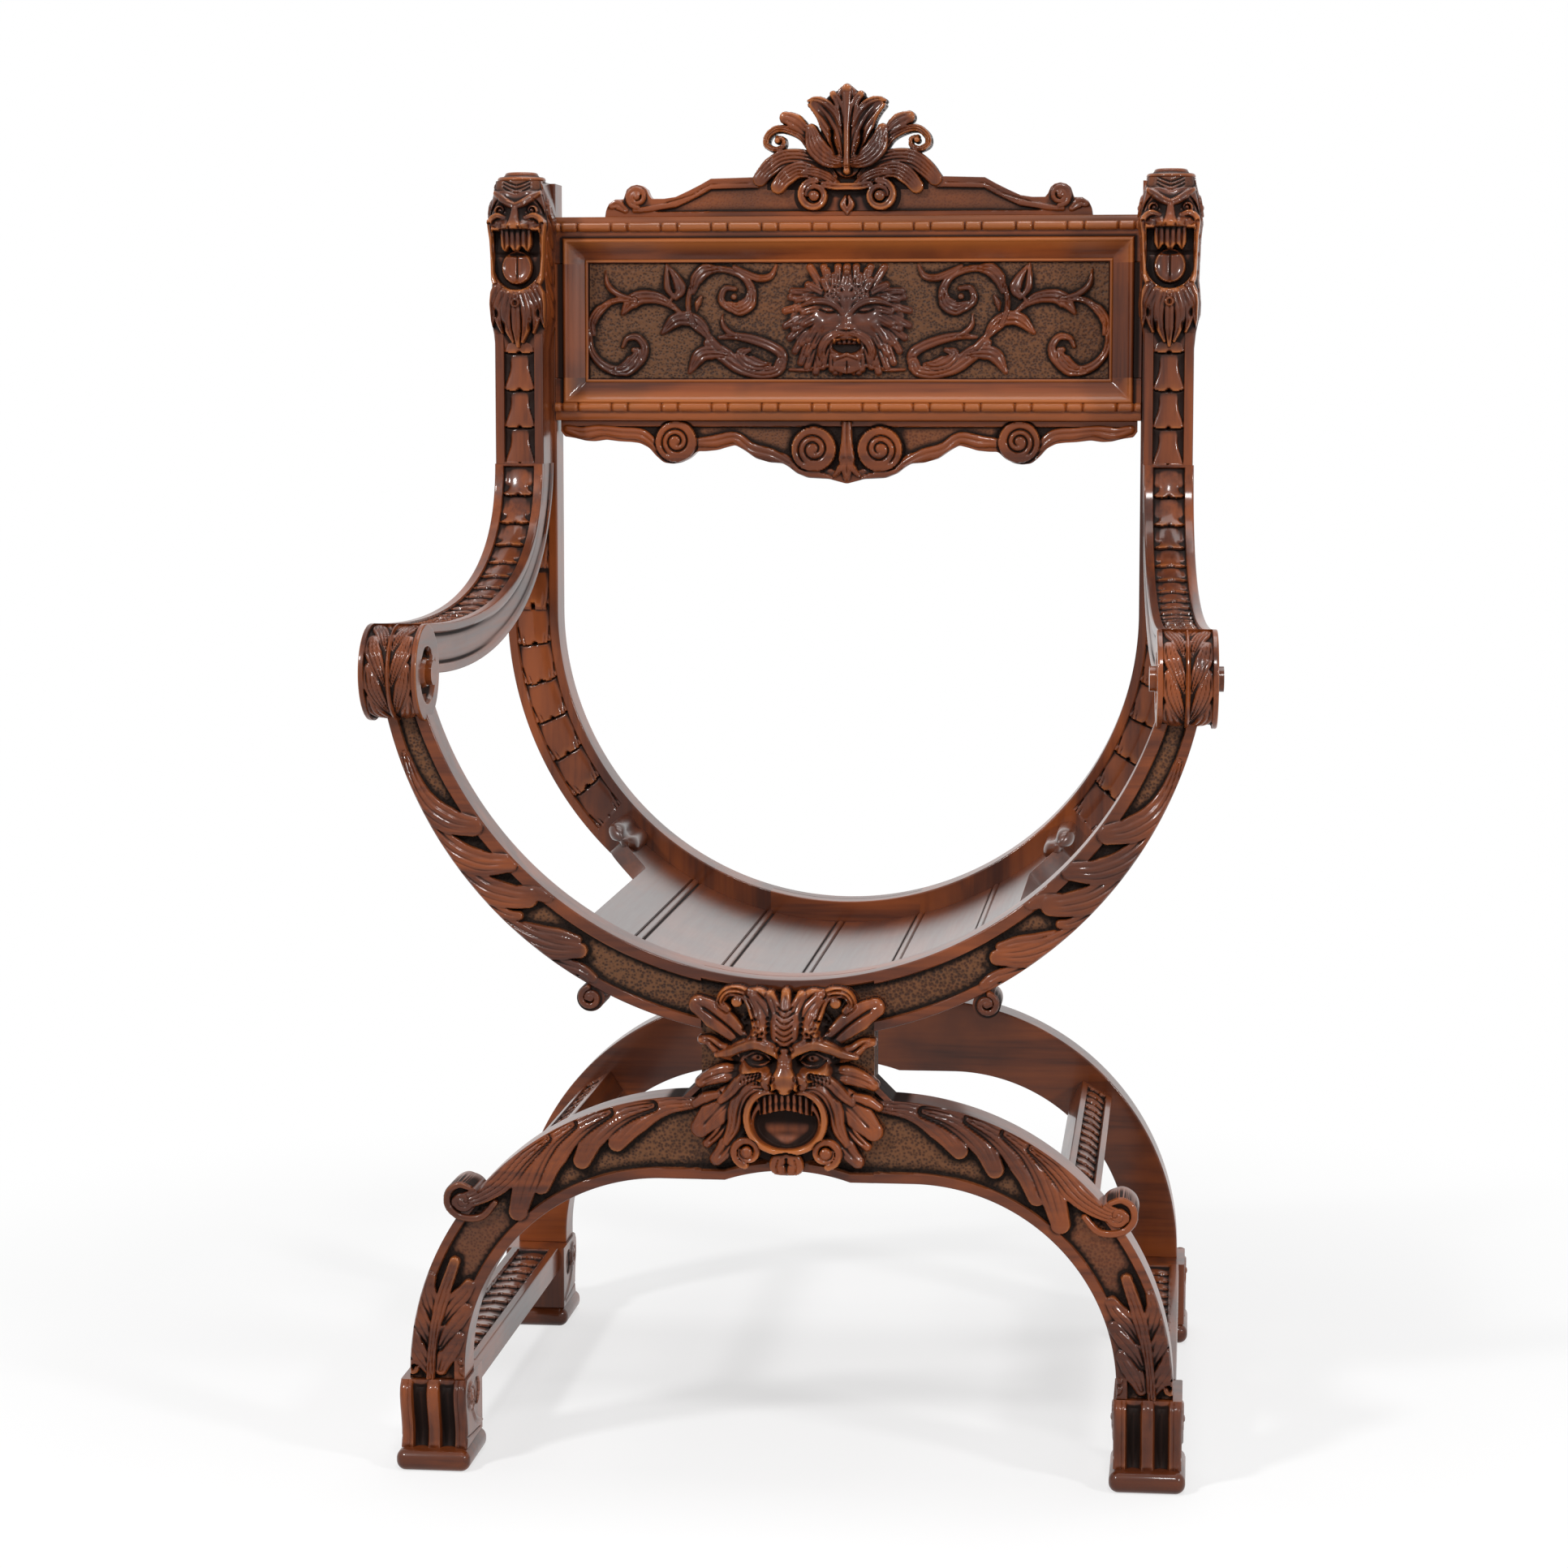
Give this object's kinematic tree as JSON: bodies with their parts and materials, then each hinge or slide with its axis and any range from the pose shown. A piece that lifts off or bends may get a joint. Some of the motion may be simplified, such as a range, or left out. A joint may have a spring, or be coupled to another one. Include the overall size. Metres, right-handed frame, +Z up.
{
  "type": "savonarola armchair",
  "caption": "Carved walnut X-frame armchair with S-curved limbs, boarded bowl seat, scrolled arms, panelled back with pierced crest and masks.",
  "frame": {"origin": "on the floor, at the middle of the chair's bounding box", "axes": "+Z up, -Y towards the front of the chair, +X to the right seen from the front"},
  "size_m": [0.6516, 0.5505, 1.095],
  "materials": {
    "walnut": "waxed and polished, worn lighter on the edges",
    "carved_walnut": "carved and waxed, dark in the hollows, punched ground",
    "screw_steel": "dull"
  },
  "bodies": {
    "root": {"apron_board": "carved_walnut", "arm_left": "walnut", "arm_pegs": "walnut", "arm_post_left": "walnut", "arm_post_right": "walnut", "arm_right": "walnut", "back_bottom_rail": "walnut", "back_edge_pegs": "walnut", "back_panel": "carved_walnut", "back_stile_left": "walnut", "back_stile_right": "walnut", "back_top_rail": "walnut", "bearer_screws": "screw_steel", "bottom_bead": "walnut", "crest_board": "walnut", "crest_carving": "carved_walnut", "crossing_pegs": "walnut", "foot_pegs": "walnut", "front_foot_left": "walnut", "front_foot_right": "walnut", "front_limb_left": "walnut", "front_limb_right": "walnut", "front_mask": "carved_walnut", "front_plinth_left": "walnut", "front_plinth_right": "walnut", "hand_buttons_left": "walnut", "hand_buttons_right": "walnut", "hand_pegs": "walnut", "leg_pegs": "walnut", "mask_pegs": "walnut", "post_boss_left": "walnut", "post_boss_right": "walnut", "post_cap_left": "walnut", "post_cap_right": "walnut", "post_pegs": "walnut", "rear_foot_left": "walnut", "rear_foot_right": "walnut", "rear_limb_left": "walnut", "rear_limb_right": "walnut", "rear_plinth_left": "walnut", "rear_plinth_right": "walnut", "runner_left": "walnut", "runner_right": "walnut", "seat_bearer_front": "walnut", "seat_bearer_rear": "walnut", "seat_board_end_left": "walnut", "seat_board_end_right": "walnut", "seat_board_inner_left": "walnut", "seat_board_inner_right": "walnut", "seat_board_middle_left": "walnut", "seat_board_middle_right": "walnut", "stretcher_left": "walnut", "stretcher_right": "walnut", "top_bead": "walnut"}
  },
  "joints": []
}
